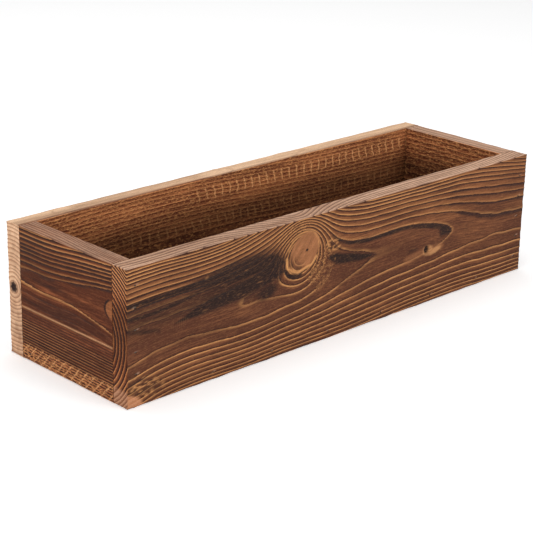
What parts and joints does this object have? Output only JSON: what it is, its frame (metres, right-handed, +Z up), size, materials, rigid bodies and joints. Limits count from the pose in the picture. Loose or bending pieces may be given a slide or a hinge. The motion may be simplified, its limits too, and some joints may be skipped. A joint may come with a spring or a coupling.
{
  "type": "window box planter",
  "caption": "Rectangular open-topped wooden window box planter: a long low trough of butt-jointed softwood boards, brad-nailed, with drain holes in its floor.",
  "frame": {"origin": "on the ground, under the middle of the box", "axes": "+X along the box towards its right end, +Y from the front board to the back board, +Z up"},
  "size_m": [0.445, 0.141, 0.106],
  "materials": {
    "front_wood": "torched and brushed softwood, satin",
    "back_wood": "torched softwood, rough-sawn inside",
    "end_wood": "torched softwood, rough-sawn inside",
    "floor_wood": "torched softwood, planed",
    "brad_steel": "dull galvanised wire"
  },
  "bodies": {
    "root": {"front_board": "front_wood", "back_board": "back_wood", "left_end_board": "end_wood", "right_end_board": "end_wood", "floor_board": "floor_wood", "corner_brads_front_left": "brad_steel", "corner_brads_front_right": "brad_steel", "corner_brads_back_left": "brad_steel", "corner_brads_back_right": "brad_steel", "floor_brads_front": "brad_steel", "floor_brads_back": "brad_steel", "floor_brads_left": "brad_steel", "floor_brads_right": "brad_steel"}
  },
  "joints": []
}
